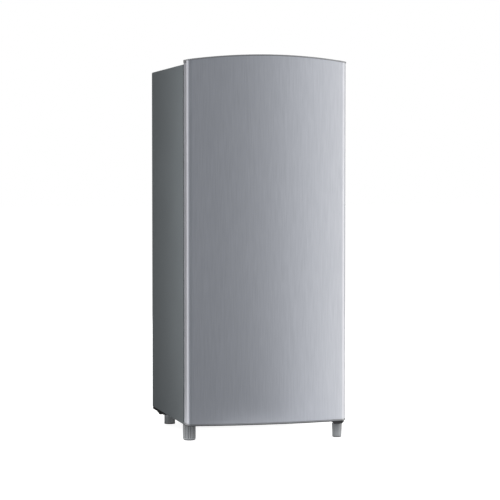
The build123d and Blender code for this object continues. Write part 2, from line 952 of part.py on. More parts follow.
def front_crossrail():
    x = (-panel_inside, panel_inside)
    face = block(x, (sheet, sheet + rail_sheet), (cabinet_bottom, cabinet_bottom + rail_height))
    flange = block(x, (sheet, rail_depth), (cabinet_bottom, cabinet_bottom + rail_sheet))
    nut = upright(nut_radius, left_foot_x, left_foot_y, (cabinet_bottom, cabinet_bottom + nut_height))
    hole = upright(stud_radius + running_gap, left_foot_x, left_foot_y, (0, cabinet_bottom + nut_height + 1))
    return face + flange + nut - hole - screw_shanks()


def stud_pocket():
    """Room for the left foot's nut and stud inside the insulation."""
    top = left_foot_height + stud_length + plate_sheet
    return upright(nut_radius + nut_room, left_foot_x, left_foot_y, (0, top))


def liner_flange():
    half = half_width - front_return
    return block((-half, half), (0, liner_wall), (cabinet_bottom + rail_height, cabinet_top - front_return))


def ledge(z):
    """Pair of ledges moulded into the side walls to carry a shelf or tray whose underside is at z."""
    one = block((-inner_half - liner_wall / 2, -inner_half + ledge_reach),
                (shelf_front + ledge_front, inner_back - ledge_back_gap), (z - ledge_height, z))
    return mirrored(one)


def cabinet_liner(cut):
    shell = cavity(liner_wall) + liner_flange()
    liner = shell - cavity(0) - block((-FAR, FAR), (-FAR, 0), (0, FAR))
    runner = (drawer_half - runner_inset - runner_width, drawer_half - runner_inset)
    moulded = mirrored(block(runner, (runner_front, step_front + 1),
                             (inner_floor - 1, inner_floor + runner_height)))
    for height in (*shelf_heights, cover_z, tray_low - sliding_gap):
        moulded += ledge(height)
    for side in (-1, 1):
        hanger_x = side * (freezer_half - hanger_inset)
        for y in (freezer_front + hanger_inset, freezer_back - hanger_inset):
            moulded += upright(hanger_radius, hanger_x, y, (freezer_top, inner_top + 1))
    return liner + (moulded & cavity(liner_wall / 2)) - cut


def cabinet_insulation(cut):
    foam = roof_block(sheet, base_top, (sheet, cabinet_depth - sheet))
    machine = block((-FAR, FAR), (machine_front - sheet, FAR), (0, machine_top + sheet))
    foam = foam - machine - cavity(liner_wall) - liner_flange() - front_crossrail() - stud_pocket()
    foam = foam - screw_shanks() - cut
    return foam.solids().sort_by(SortBy.VOLUME)[-1]


def mount_places():
    """Places of the compressor's four grommets."""
    return [(compressor_x + x, compressor_y + y)
            for x in (-grommet_x, grommet_x) for y in (-grommet_y, grommet_y)]


def compressor_base_plate():
    half = panel_inside
    front = machine_front + plate_sheet
    plate = block((-half, half), (front, plate_back), (plate_low, plate_top))
    for side in (-1, 1):
        plate += block(on_side(side, half - plate_sheet, half), (front, plate_back),
                       (plate_low, plate_top + plate_lip))
    plate += block((-half, half), (front, front + plate_sheet), (plate_low, cabinet_bottom + rail_sheet))
    plate += block((-half, half), (gland_front, plate_back), (plate_low, plate_top + plate_rear_lip))
    plate += block((gland_x - gland_tab_half, gland_x + gland_tab_half), (gland_front, plate_back),
                   (plate_low, gland_height + gland_radius + gland_tab_rise))
    plate -= along_y(gland_radius, gland_x, (gland_front - 1, plate_back + 1), gland_height)
    slot_front = roller_y - roller_radius - plate_sheet
    for side in (-1, 1):
        slot = on_side(side, roller_x - roller_slot, roller_x + roller_slot)
        plate -= block(slot, (slot_front, FAR), (0, plate_top + plate_lip + 1))
        for near in (roller_x - roller_slot - lug_thickness, roller_x + roller_slot):
            plate += block(on_side(side, near, near + lug_thickness),
                           (roller_y - lug_half, roller_y + lug_half), (roller_z - lug_drop, plate_top))
        axle_room = roller_slot + 2 * lug_thickness
        axle = on_side(side, roller_x - axle_room, roller_x + axle_room)
        plate -= along_x(roller_axle + running_gap, axle, roller_y, roller_z)
    for place in mount_places():
        plate -= upright(bolt_radius, *place, (0, plate_top + 1))
    return plate


def ring_places(count, radius, centre):
    """Places spaced evenly round a circle."""
    turns = [2 * math.pi * n / count for n in range(count)]
    return [(centre[0] + radius * math.cos(a), centre[1] + radius * math.sin(a)) for a in turns]


def rear_feet():
    core = rear_foot_radius - rear_rib_radius
    solids = []
    for x in (-rear_foot_x, rear_foot_x):
        foot = upright(core, x, rear_foot_y, (0, plate_low))
        foot += upright(rear_foot_radius, x, rear_foot_y, (plate_low - rear_foot_collar, plate_low))
        for place in ring_places(rear_rib_count, core, (x, rear_foot_y)):
            foot += upright(rear_rib_radius, *place, (0, plate_low - rear_foot_collar))
        solids.append(foot)
    return solids


def roller(side):
    tread = on_side(side, roller_x - roller_width / 2, roller_x + roller_width / 2)
    wheel = along_x(roller_radius, tread, roller_y, roller_z)
    wheel = fillet(wheel.edges(), roller_rounding)
    reach = roller_slot + lug_thickness
    return wheel + along_x(roller_axle, on_side(side, roller_x - reach, roller_x + reach), roller_y, roller_z)


def front_left_foot():
    body = upright(left_foot_radius, left_foot_x, left_foot_y, (0, left_foot_height))
    body = fillet(body.edges().sort_by(Axis.Z)[0], left_foot_rounding)
    body = fillet(body.edges().sort_by(Axis.Z)[-1], flute_radius)
    centre = (left_foot_x, left_foot_y)
    for place in ring_places(flute_count, left_foot_radius + moving_gap, centre):
        body -= upright(flute_radius, *place, (flute_low, left_foot_height + 1))
    return body + upright(stud_radius, *centre, (left_foot_height, left_foot_height + stud_length))


def front_right_foot():
    height = right_foot_height
    body = Pos(right_foot_x, right_foot_y, height / 2) * Cone(right_foot_radius - right_foot_taper,
                                                              right_foot_radius, height)
    body = fillet(body.edges().sort_by(Axis.Z)[0], right_foot_rounding)
    body = fillet(body.edges().sort_by(Axis.Z)[-1], 1)
    return body + upright(stud_radius, right_foot_x, right_foot_y, (height, cabinet_bottom + 1))


def evaporator_box():
    wall = freezer_wall
    outer = soft_box_y((-freezer_half, freezer_half), (freezer_front, freezer_back),
                       (freezer_low, freezer_top), freezer_corner)
    inner = soft_box_y((-freezer_half + wall, freezer_half - wall), (freezer_front - 1, freezer_back - wall),
                       (freezer_low + wall, freezer_top - wall), freezer_corner - wall)
    return outer - inner


def freezer_front_frame():
    y = (freezer_front - frame_depth, freezer_front)
    half = freezer_half + frame_band
    inside = freezer_half - freezer_wall
    frame = block((-half, half), y, (frame_low, freezer_top))
    bore_z = (freezer_low + freezer_wall, freezer_top - freezer_wall)
    frame -= soft_box_y((-inside, inside), (0, FAR), bore_z, freezer_corner - freezer_wall)
    lug_x = (flap_x - flap_lug_radius, flap_x + flap_lug_radius)
    for low in (frame_low, freezer_top - flap_lug_height):
        z = (low, low + flap_lug_height)
        frame += upright(flap_lug_radius, flap_x, flap_y, z) + block(lug_x, (flap_y, freezer_front - 1), z)
    return frame - upright(flap_pin_radius + running_gap, flap_x, flap_y, (0, FAR))


def freezer_flap():
    left = -freezer_half - flap_overlap
    body = soft_box((left, flap_x), (flap_front, flap_back), (flap_low, flap_high), flap_skin)
    body -= block((left + flap_rim, flap_x - flap_hinge_margin), (flap_front + flap_skin, flap_back + 1),
                  (flap_low + flap_rim, flap_high - flap_rim))
    barrel = upright(flap_thickness / 2, flap_x, flap_y, (flap_low, flap_high))
    pins = upright(flap_pin_radius, flap_x, flap_y, (flap_low - flap_lug_height, flap_high + flap_lug_height))
    middle = (flap_low + flap_high) / 2
    pull_left = -freezer_half + flap_pull_inset
    pull = block((pull_left, pull_left + flap_pull_width), (flap_front - flap_pull_reach, flap_front + 1),
                 (middle - flap_pull_half, middle + flap_pull_half))
    return body + barrel + pins + pull


def shelf(z):
    side = inner_half - shelf_side_gap
    return block((-side, side), (shelf_front, inner_back - shelf_back_gap), (z, z + shelf_glass))


def shelf_trims():
    side = inner_half - shelf_side_gap + shelf_trim_side
    front = shelf_front - shelf_trim_lead
    solids = []
    for z in shelf_heights:
        top = z + shelf_glass + shelf_trim_lip
        trim = block((-side, side), (front, front + shelf_trim_depth), (top - shelf_trim_height, top))
        trim = fillet(trim.faces().sort_by(Axis.Y)[0].edges().filter_by(Axis.X), shelf_trim_lip)
        solids.append(trim - shelf(z) - ledge(z))
    return solids


def crisper_cover():
    side = inner_half - shelf_side_gap
    return block((-side, side), (shelf_front + cover_setback, inner_back - shelf_back_gap),
                 (cover_z, cover_z + shelf_glass))


def crisper_drawer():
    top = drawer_low + drawer_height
    body = tub((-drawer_half, drawer_half), (drawer_front, step_front - drawer_back_gap), (drawer_low, top),
               drawer_wall, drawer_corner)
    side = drawer_half - drawer_lip_inset
    front = drawer_front - drawer_lip
    lip = block((-side, side), (front, drawer_front + 1), (top - drawer_lip, top))
    lip += block((-side, side), (front, front + drawer_lip_wall), (top - drawer_lip_drop, top))
    return body + lip


def chiller_tray():
    side = inner_half - tray_side_gap
    top = tray_low + tray_height
    body = tub((-side, side), (tray_front, tray_back), (tray_low, top), tray_wall, tray_corner)
    rail = block((side - 1, inner_half - tray_rail_play),
                 (tray_front + tray_rail_front, tray_back - tray_rail_back), (tray_low, tray_low + tray_rail))
    pull = block((-tray_pull_half, tray_pull_half), (tray_front - tray_pull_reach, tray_front + 1),
                 (top - tray_pull_height, top))
    return body + mirrored(rail) + pull


def lamp_window():
    """Y and Z extents of the lamp's window in the thermostat housing."""
    y = (lamp_y - lamp_cover_half, lamp_y + lamp_cover_half)
    return y, (housing_low + lamp_cover_margin, housing_low + housing_height - lamp_cover_margin)


def thermostat_housing():
    wall = housing_wall
    y = (housing_front, housing_front + housing_length)
    z = (housing_low, housing_low + housing_height)
    outer = block((housing_x, inner_half), y, z)
    outer = fillet([e for e in outer.edges() if e.center().X < inner_half - 1], housing_rounding)
    inside = block((housing_x + wall, inner_half + 1), (y[0] + wall, y[1] - wall), (z[0] + wall, z[1] - wall))
    window = block((housing_x - 1, housing_x + wall + 1), *lamp_window())
    holder = upright(lamp_cap_radius + holder_wall, lamp_x, lamp_y,
                     (z[0] + wall, z[0] + wall + holder_height))
    bore = upright(lamp_cap_radius + running_gap, lamp_x, lamp_y, (lamp_low, FAR))
    shaft = along_x(knob_shaft_radius + running_gap, (0, inner_half - shaft_wall_gap), knob_y, knob_z)
    return outer - inside - window + (holder - bore) - shaft


def lamp_bulb():
    cap_top = lamp_low + lamp_cap_length
    neck_top = cap_top + lamp_neck
    middle = lamp_low + lamp_length - lamp_radius
    bulb = upright(lamp_cap_radius, lamp_x, lamp_y, (lamp_low, cap_top))
    bulb += Pos(lamp_x, lamp_y, cap_top + lamp_neck / 2) * Cone(lamp_cap_radius - 1, lamp_radius, lamp_neck)
    bulb += upright(lamp_radius, lamp_x, lamp_y, (neck_top, middle))
    return bulb + Pos(lamp_x, lamp_y, middle) * Sphere(lamp_radius)


def lamp_cover():
    y, z = lamp_window()
    wall = lamp_cover_wall
    front = housing_x - lamp_cover_reach
    outer = block((front, housing_x + housing_wall), y, z)
    outer = fillet([e for e in outer.edges() if e.center().X < housing_x], lamp_cover_rounding)
    return outer - block((front + wall, FAR), (y[0] + wall, y[1] - wall), (z[0] + wall, z[1] - wall))


def thermostat_knob():
    disc = along_x(knob_radius, (knob_front, knob_seat), knob_y, knob_z)
    disc = fillet(disc.faces().sort_by(Axis.X)[0].edges(), knob_rounding)
    for place in ring_places(knob_grip_count, knob_radius + running_gap, (knob_y, knob_z)):
        disc -= along_x(knob_grip_radius, (knob_front - 1, knob_seat - 2 * knob_rounding), *place)
    shaft = along_x(knob_shaft_radius, (knob_seat - 1, housing_x + knob_shaft_length), knob_y, knob_z)
    well = along_x(button_radius + moving_gap, (0, knob_seat - knob_web), knob_y, knob_z)
    bore = along_x(button_stem_radius + moving_gap, (0, FAR), knob_y, knob_z)
    return disc + shaft - well - bore


def defrost_button():
    end = knob_seat - knob_web - button_travel - moving_gap
    head = along_x(button_radius, (knob_front - button_proud, end), knob_y, knob_z)
    head = fillet(head.faces().sort_by(Axis.X)[0].edges(), button_rounding)
    return head + along_x(button_stem_radius, (end - 1, housing_x + button_stem_length), knob_y, knob_z)


def door_switch_housing():
    half = switch_height / 2
    back = switch_front + switch_length
    outer = block((inner_half - switch_reach, inner_half), (switch_front, back),
                  (plunger_z - half, plunger_z + half))
    outer = fillet([e for e in outer.edges() if e.center().X < inner_half - 1], switch_wall)
    return outer - along_y(plunger_radius + moving_gap, plunger_x, (0, back - switch_wall), plunger_z)


def door_switch_plunger():
    tip = rib_reach + moving_gap
    stem = along_y(plunger_radius, plunger_x, (tip, switch_front + plunger_bury), plunger_z)
    return fillet(stem.edges().sort_by(Axis.Y)[0], plunger_rounding)


def drain_points(start):
    return [(compressor_x, start, drain_height), (compressor_x, line_y, drain_height),
            (compressor_x, line_y, machine_top - drain_end)]


def drain_tube():
    points = drain_points(inner_back)
    return pipe(points, drain_radius, drain_bend) - pipe(points, drain_bore, drain_bend)


def suction_points():
    entry = freezer_low + suction_entry
    lift = compressor_seat + suction_rise
    end_x = compressor_x + compressor_radius - pipe_bury
    return [(suction_x, freezer_back, entry), (suction_x, line_y, entry), (suction_x, line_y, lift),
            (suction_x, compressor_y, lift), (end_x, compressor_y, lift)]


def capillary_points():
    low = drier_low - capillary_drop
    entry = freezer_low + capillary_entry
    y = inner_back + capillary_depth
    return [(drier_x, drier_y, drier_low), (drier_x, drier_y, low), (capillary_x, drier_y, low),
            (capillary_x, y, low + capillary_climb), (capillary_x, y, entry),
            (capillary_x, freezer_back, entry)]


def drier_and_capillary():
    low = drier_low + drier_taper
    high = drier_top - drier_taper
    body = upright(drier_radius, drier_x, drier_y, (low, high))
    lower_end = Cone(2 * capillary_radius, drier_radius, drier_taper)
    upper_end = Cone(drier_radius, condenser_pipe + 1, drier_taper)
    body += Pos(drier_x, drier_y, low - drier_taper / 2) * lower_end
    body += Pos(drier_x, drier_y, high + drier_taper / 2) * upper_end
    return [body, pipe(capillary_points(), capillary_radius, capillary_bend)]


def pipes_through():
    """The pipes that pass through the insulation and the sheet under it."""
    suction = pipe(suction_points(), suction_radius, bend)
    capillary = pipe(capillary_points(), capillary_radius, capillary_bend)
    return suction + capillary + pipe(drain_points(inner_back - drain_end), drain_radius, drain_bend)


def suction_line():
    return pipe(suction_points(), suction_radius, bend) - compressor_can(0)


def discharge_line():
    start_x = compressor_x - compressor_radius
    start_y = compressor_y - discharge_offset
    lift = compressor_seat + discharge_rise
    out_x = start_x - discharge_gap
    points = [(start_x + pipe_bury, start_y, lift), (out_x, start_y, lift), (out_x, condenser_y, lift),
              (riser_x, condenser_y, lift), (riser_x, condenser_y, condenser_high),
              (-condenser_half, condenser_y, condenser_high)]
    return pipe(points, condenser_pipe, bend) - compressor_can(0)


def condenser_tail():
    """Pipe from the coil's lower end down to the drier."""
    tail_x = riser_x + tail_inset - riser_inset
    high = drier_top + tail_rise
    return pipe([(-condenser_turn, condenser_y, condenser_low), (tail_x, condenser_y, condenser_low),
                 (tail_x, condenser_y, high), (drier_x, drier_y, high), (drier_x, drier_y, drier_top)],
                condenser_pipe, tail_bend)


def condenser_coil():
    """Serpentine pipe."""
    y = condenser_y
    start = (-condenser_half, y, condenser_high)
    path = Line(start, (condenser_turn, y, condenser_high))
    for n in range(1, condenser_passes):
        side = 1 if n % 2 else -1
        z = condenser_high - n * condenser_pitch
        half = condenser_pitch / 2
        turn = side * condenser_turn
        crown = (turn + side * half, y, z + half)
        path = path + ThreePointArc((turn, y, z + condenser_pitch), crown, (turn, y, z))
        path = path + Line((turn, y, z), (-turn, y, z))
    return sweep(Plane(origin=start, z_dir=(1, 0, 0)) * Circle(condenser_pipe), path=path)


def condenser_wires():
    """Straight wires across the coil, in turn on its two faces."""
    reach = condenser_turn - wire_side_gap
    z = (condenser_low - wire_overrun, condenser_high + wire_overrun)
    solids = []
    for n in range(wire_count):
        x = -reach + 2 * reach * n / (wire_count - 1)
        side = 1 if n % 2 == 0 else -1
        solids.append(upright(wire_radius, x, condenser_y + side * (condenser_pipe + wire_radius), z))
    return solids


def condenser_brackets():
    """Four brackets that hold the coil's straight runs off the back."""
    near = condenser_turn - bracket_inset
    middle = near + bracket_width / 2
    solids = []
    for n in (1, condenser_passes - 2):
        z = condenser_high - n * condenser_pitch
        for side in (-1, 1):
            arm = block(on_side(side, near, near + bracket_width),
                        (back_face, condenser_y + condenser_pipe + 1), (z - bracket_half, z + bracket_half))
            foot_z = (z - bracket_foot_half, z + bracket_foot_half)
            arm += block(on_side(side, middle - bracket_width, middle + bracket_width),
                         (back_face, back_face + bracket_foot), foot_z)
            solids.append(arm - along_x(condenser_pipe, (-FAR, FAR), condenser_y, z))
    return solids


def compressor_can(grow):
    """Rounded can of the compressor, grown outwards."""
    can = upright(compressor_radius + grow, compressor_x, compressor_y,
                  (compressor_seat - grow, compressor_top + grow))
    return fillet(can.edges().filter_by(GeomType.CIRCLE), compressor_rounding + grow)


def between(low, high):
    """Everything between two heights."""
    return block((-FAR, FAR), (-FAR, FAR), (low, high))


def compressor_lower_shell():
    inside = compressor_can(-compressor_wall)
    cup = (compressor_can(0) - inside) & between(0, split_z)
    half_x = grommet_x + foot_plate_margin
    half_y = grommet_y + foot_plate_margin
    plate = soft_box((compressor_x - half_x, compressor_x + half_x),
                     (compressor_y - half_y, compressor_y + half_y), (foot_plate_low, foot_plate_top),
                     foot_plate_radius)
    plate -= inside
    for place in mount_places():
        plate -= upright(grommet_neck, *place, (0, FAR))
    return cup + plate


def compressor_upper_shell():
    cup = (compressor_can(0) - compressor_can(-compressor_wall)) & between(split_z, FAR)
    seam = (split_z, split_z + seam_height)
    band = upright(compressor_radius + seam_band, compressor_x, compressor_y, seam)
    return cup + (band - upright(compressor_radius - 1, compressor_x, compressor_y, seam))


def compressor_grommets():
    solids = []
    for place in mount_places():
        grommet = upright(grommet_radius, *place, (plate_top, foot_plate_low))
        grommet += upright(grommet_neck, *place, (foot_plate_low, foot_plate_top))
        grommet += upright(grommet_collar, *place, (foot_plate_top, foot_plate_top + grommet_collar_height))
        solids.append(grommet - upright(bolt_radius, *place, (0, FAR)))
    return solids


def compressor_bolts():
    solids = []
    top = foot_plate_top + grommet_collar_height
    for place in mount_places():
        bolt = upright(bolt_radius, *place, (plate_low, top))
        bolt += upright(washer_radius, *place, (top, top + washer_thickness))
        head = extrude(RegularPolygon(bolt_head_radius, 6), bolt_head_height)
        solids.append(bolt + Pos(*place, top + washer_thickness) * head)
    return solids


def compressor_stator():
    stator = upright(stator_radius, compressor_x, compressor_y, (stator_low, stator_top))
    return stator - upright(rotor_radius + motor_gap, compressor_x, compressor_y, (0, FAR))


def compressor_pump():
    """Pump block that holds the crankshaft, on four posts from the can's floor."""
    flange_radius = compressor_radius - compressor_wall - pump_flange_gap
    pump = upright(pump_radius, compressor_x, compressor_y, (pump_low, pump_top))
    pump += upright(flange_radius, compressor_x, compressor_y, (pump_low, pump_low + pump_flange))
    pump += block((compressor_x, compressor_x + cylinder_reach),
                  (compressor_y - cylinder_half, compressor_y + cylinder_half), (pump_low, pump_top))
    slant = post_ring / math.sqrt(2)
    for x in (compressor_x - slant, compressor_x + slant):
        for y in (compressor_y - slant, compressor_y + slant):
            pump += upright(post_radius, x, y, (stator_low - post_below, pump_low + 1))
    bearing = upright(shaft_radius + running_gap, compressor_x, compressor_y, (0, FAR))
    return (pump & compressor_can(-compressor_wall)) - bearing


def compressor_rotor():
    shaft_top = pump_top + shaft_above
    rotor = upright(rotor_radius, compressor_x, compressor_y,
                    (stator_low - rotor_overrun, stator_top + rotor_overrun))
    shaft = upright(shaft_radius, compressor_x, compressor_y, (stator_low - shaft_below, shaft_top))
    offset = shaft_radius - crank_radius
    crank = upright(crank_radius, compressor_x + offset, compressor_y, (shaft_top, shaft_top + crank_height))
    return rotor + shaft + crank


def terminal_cover():
    wall = terminal_wall
    side = compressor_x - compressor_radius
    far = side - terminal_reach
    y = (compressor_y + terminal_offset, compressor_y + terminal_offset + terminal_width)
    low = compressor_seat + terminal_rise
    z = (low, low + terminal_height)
    outer = block((far, side + terminal_bury), y, z)
    outer = fillet([e for e in outer.edges() if e.center().X < far + 1], terminal_rounding)
    inside = block((far + wall, compressor_x), (y[0] + wall, y[1] - wall), (z[0] + wall, z[1] - wall))
    return outer - inside - compressor_can(0)


def drip_tray():
    return tub((compressor_x - pan_half, compressor_x + pan_half),
               (compressor_y - pan_half, compressor_y + compressor_radius),
               (compressor_top, compressor_top + pan_height), pan_wall, pan_corner)


def cord_gland():
    inner = gland_front - gland_flange
    body = along_y(gland_radius, gland_x, (inner, plate_back), gland_height)
    body += along_y(gland_radius + gland_flange, gland_x, (plate_back, plate_back + gland_flange),
                    gland_height)
    body += along_y(gland_radius - gland_neck, gland_x, (plate_back, inner + gland_length), gland_height)
    body += along_y(gland_radius + gland_nut, gland_x, (inner, gland_front), gland_height)
    return body - along_y(gland_bore, gland_x, (-FAR, FAR), gland_height)


def single_pieces():
    """Every piece that is one solid, by name."""
    through = pipes_through()
    top_cap = door_top_cap()
    bottom_cap = door_bottom_cap()
    liner = door_liner()
    seal = door_gasket()
    left_panel = side_panel()
    singles = {
        "side_panel_left": left_panel,
        "side_panel_right": mirror(left_panel, Plane.YZ),
        "top_panel": top_panel(),
        "back_panel": back_panel(),
        "base_panel": base_panel(),
        "front_crossrail": front_crossrail(),
        "cabinet_insulation": cabinet_insulation(through),
        "cabinet_liner": cabinet_liner(through),
        "compressor_base_plate": compressor_base_plate(),
        "upper_hinge_bracket": upper_hinge_bracket(),
        "upper_hinge_cover": upper_hinge_cover(),
        "lower_hinge_bracket": lower_hinge_bracket(),
        "evaporator_box": evaporator_box(),
        "freezer_front_frame": freezer_front_frame(),
        "crisper_cover": crisper_cover(),
        "thermostat_housing": thermostat_housing(),
        "lamp_bulb": lamp_bulb(),
        "lamp_cover": lamp_cover(),
        "door_switch_housing": door_switch_housing(),
        "drain_tube": drain_tube(),
        "compressor_lower_shell": compressor_lower_shell(),
        "compressor_upper_shell": compressor_upper_shell(),
        "compressor_stator": compressor_stator(),
        "compressor_pump": compressor_pump(),
        "terminal_cover": terminal_cover(),
        "drip_tray": drip_tray(),
        "condenser_coil": condenser_coil(),
        "cord_gland": cord_gland(),
        "door_skin": door_skin(),
        "door_top_cap": top_cap,
        "door_bottom_cap": bottom_cap,
        "door_insulation": door_insulation([top_cap, bottom_cap, liner, seal]),
        "door_liner": liner,
        "door_gasket": seal,
        "gasket_magnet": magnet_ring(magnet_play),
        "freezer_flap": freezer_flap(),
        "crisper_drawer": crisper_drawer(),
        "chiller_tray": chiller_tray(),
        "door_switch_plunger": door_switch_plunger(),
        "thermostat_knob": thermostat_knob(),
        "defrost_button": defrost_button(),
        "front_left_foot": front_left_foot(),
        "front_right_foot": front_right_foot(),
        "roller_left": roller(-1),
        "roller_right": roller(1),
        "compressor_rotor": compressor_rotor(),
    }
    for name, (low, height) in bins.items():
        singles[name] = door_bin(low, height)
    return singles


def grouped_pieces():
    """Like pieces that share a file, as lists of separate solids, by name."""
    return {
        "rear_feet": rear_feet(),
        "hinge_pins": hinge_pins(),
        "screws_and_bolts": hinge_screws() + compressor_bolts(),
        "shelf_glasses": [shelf(z) for z in shelf_heights],
        "shelf_trims": shelf_trims(),
        "compressor_grommets": compressor_grommets(),
        "compressor_pipes": [suction_line(), discharge_line(), condenser_tail()],
        "condenser_wires": condenser_wires(),
        "condenser_brackets": condenser_brackets(),
        "drier_and_capillary": drier_and_capillary(),
        "door_hinge_bushes": hinge_bushes(),
    }


def make():
    os.makedirs("parts", exist_ok=True)
    for name, shape in single_pieces().items():
        save(name, shape)
    for name, solids in grouped_pieces().items():
        save(name, Compound(children=[s for shape in solids for s in shape.solids()]))


make()
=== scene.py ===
import math

import bmesh
import bpy
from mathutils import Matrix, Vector


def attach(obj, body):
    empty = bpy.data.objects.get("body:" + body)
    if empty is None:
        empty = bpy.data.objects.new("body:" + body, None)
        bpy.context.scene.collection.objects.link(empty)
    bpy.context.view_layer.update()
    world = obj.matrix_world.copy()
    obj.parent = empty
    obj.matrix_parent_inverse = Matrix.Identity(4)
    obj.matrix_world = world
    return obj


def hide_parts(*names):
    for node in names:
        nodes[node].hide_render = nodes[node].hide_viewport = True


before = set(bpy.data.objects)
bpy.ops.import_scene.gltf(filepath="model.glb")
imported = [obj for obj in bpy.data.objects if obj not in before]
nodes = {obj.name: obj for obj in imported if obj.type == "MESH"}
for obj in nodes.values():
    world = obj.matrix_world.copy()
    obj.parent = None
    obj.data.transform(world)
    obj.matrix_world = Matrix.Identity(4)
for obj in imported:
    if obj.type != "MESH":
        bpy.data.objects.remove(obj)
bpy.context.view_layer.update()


# Camera, at the photograph's viewing angle
camera_data = bpy.data.cameras.new("camera")
camera_data.lens = 131.26
camera_data.sensor_width = 36.0
camera_data.clip_start = 0.1
camera_data.clip_end = 60.0
camera = bpy.data.objects.new("camera", camera_data)
camera.location = (-1.46294, -5.55284, 0.80670)
camera.rotation_euler = (math.radians(90.0 - 2.361), 0.0, math.radians(-14.869))
bpy.context.scene.collection.objects.link(camera)
bpy.context.scene.camera = camera
bpy.context.scene.view_settings.view_transform = "Standard"


# Shader helpers
class Tree:
    """A material's node tree, built by short calls."""

    def __init__(self, name):
        self.material = bpy.data.materials.new(name)
        self.material.use_nodes = True
        self.tree = self.material.node_tree
        self.tree.nodes.clear()
        self.out = self.tree.nodes.new("ShaderNodeOutputMaterial")
        self.coord = None

    def add(self, kind, **values):
        made = self.tree.nodes.new(kind)
        for key, value in values.items():
            setattr(made, key, value)
        return made

    def link(self, a, b):
        self.tree.links.new(a, b)

    def place(self):
        if self.coord is None:
            self.coord = self.add("ShaderNodeTexCoord")
        return self.coord.outputs["Object"]

    def noise(self, scale, detail, rough=0.55, stretch=(1, 1, 1)):
        """Noise of the place on the object, whose place is stretched first."""
        mapping = self.add("ShaderNodeMapping")
        mapping.inputs["Scale"].default_value = stretch
        self.link(self.place(), mapping.inputs["Vector"])
        made = self.add("ShaderNodeTexNoise")
        made.inputs["Scale"].default_value = scale
        made.inputs["Detail"].default_value = detail
        made.inputs["Roughness"].default_value = rough
        self.link(mapping.outputs["Vector"], made.inputs["Vector"])
        return made.outputs["Fac"]

    def hollows(self, reach):
        """1 on open surfaces, and less where others come within reach."""
        made = self.add("ShaderNodeAmbientOcclusion", samples=8)
        made.inputs["Distance"].default_value = reach
        return made.outputs["AO"]

    def height(self):
        """The height above the floor at rest, in metres."""
        made = self.add("ShaderNodeSeparateXYZ")
        self.link(self.place(), made.inputs[0])
        return made.outputs["Z"]

    def combined(self, operation, a, b):
        """Two values put together by a math node."""
        made = self.add("ShaderNodeMath", operation=operation)
        self.link(a, made.inputs[0])
        self.link(b, made.inputs[1])
        return made.outputs[0]

    def ramp(self, source, low, high, a, b):
        """Map source from low..high to a..b, clamped."""
        made = self.add("ShaderNodeMapRange")
        made.inputs["From Min"].default_value = low
        made.inputs["From Max"].default_value = high
        made.inputs["To Min"].default_value = a
        made.inputs["To Max"].default_value = b
        self.link(source, made.inputs["Value"])
        return made.outputs["Result"]

    def colours(self, source, low, first, high, last):
        """The first colour where source is low, the last where it is high, and a blend between."""
        made = self.add("ShaderNodeValToRGB")
        for stop, position, colour in zip(made.color_ramp.elements, (low, high), (first, last)):
            stop.position = position
            stop.color = (*colour, 1.0)
        self.link(source, made.inputs["Fac"])
        return made.outputs["Color"]

    def drift(self, scale, colour, spread):
        """A slow drift of the colour, lighter and darker by its spread."""
        dark, pale = near(colour, 1 - spread), near(colour, 1 + spread)
        return self.colours(self.noise(scale, 3.0), 0.3, dark, 0.7, pale)

    def bump(self, source, strength, distance):
        made = self.add("ShaderNodeBump")
        made.inputs["Strength"].default_value = strength
        made.inputs["Distance"].default_value = distance
        self.link(source, made.inputs["Height"])
        return made.outputs["Normal"]

    def surface(self, colour, rough, normal, **sockets):
        """A shader with linked colour, roughness and normal, and any uniform sockets, given by name."""
        self.shader = self.add("ShaderNodeBsdfPrincipled")
        for name, value in sockets.items():
            self.shader.inputs[name.replace("_", " ")].default_value = value
        self.link(rough, self.shader.inputs["Roughness"])
        self.link(colour, self.shader.inputs["Base Color"])
        self.link(normal, self.shader.inputs["Normal"])
        self.link(self.shader.outputs["BSDF"], self.out.inputs["Surface"])
        return self.material


def near(colour, share):
    return tuple(min(1.0, max(0.0, c * share)) for c in colour)


def moulded(name, colour, rough=0.45, grain=900.0, depth=0.00004, spread=0.05, **sockets):
    """Moulded plastic: fine spark-eroded grain, slow colour drift."""
    t = Tree(name)
    mixed = t.drift(9.0, colour, spread)
    fine = t.noise(grain, 2.0)
    gloss = t.ramp(fine, 0.3, 0.7, rough - 0.06, rough + 0.06)
    return t.surface(mixed, gloss, t.bump(fine, 0.35, depth), **sockets)


def painted(name, colour, rough=0.4, peel=240.0, depth=0.00006, spread=0.04, **sockets):
    """Sprayed or powder-coated steel with a light orange peel."""
    t = Tree(name)
    mixed = t.drift(4.0, colour, spread)
    skin = t.noise(peel, 3.0)
    gloss = t.ramp(skin, 0.35, 0.65, rough - 0.05, rough + 0.05)
    return t.surface(mixed, gloss, t.bump(skin, 0.3, depth), **sockets)


def grooved(name, colour, top, rough=0.33, reach=0.005, **sockets):
    """Moulded plastic of a foot with painted shade: darker down in its flutes, and darker towards its top,
    under the cabinet.
    """
    t = Tree(name)
    # Painted shade: the foot darkens towards its top, under the cabinet
    top_shade = t.ramp(t.height(), FOOT_UNSHADED, FOOT_SHADED, 1.0, top)
    # Painted shade in the flutes, from ambient occlusion
    share = t.combined("MULTIPLY", t.ramp(t.hollows(reach), 0.55, 1.0, 0.0, 1.0), top_shade)
    mixed = t.colours(share, 0.0, near(colour, 0.06), 1.0, colour)
    fine = t.noise(900.0, 2.0)
    gloss = t.ramp(fine, 0.3, 0.7, rough - 0.06, rough + 0.06)
    return t.surface(mixed, gloss, t.bump(fine, 0.35, 0.00004), **sockets)


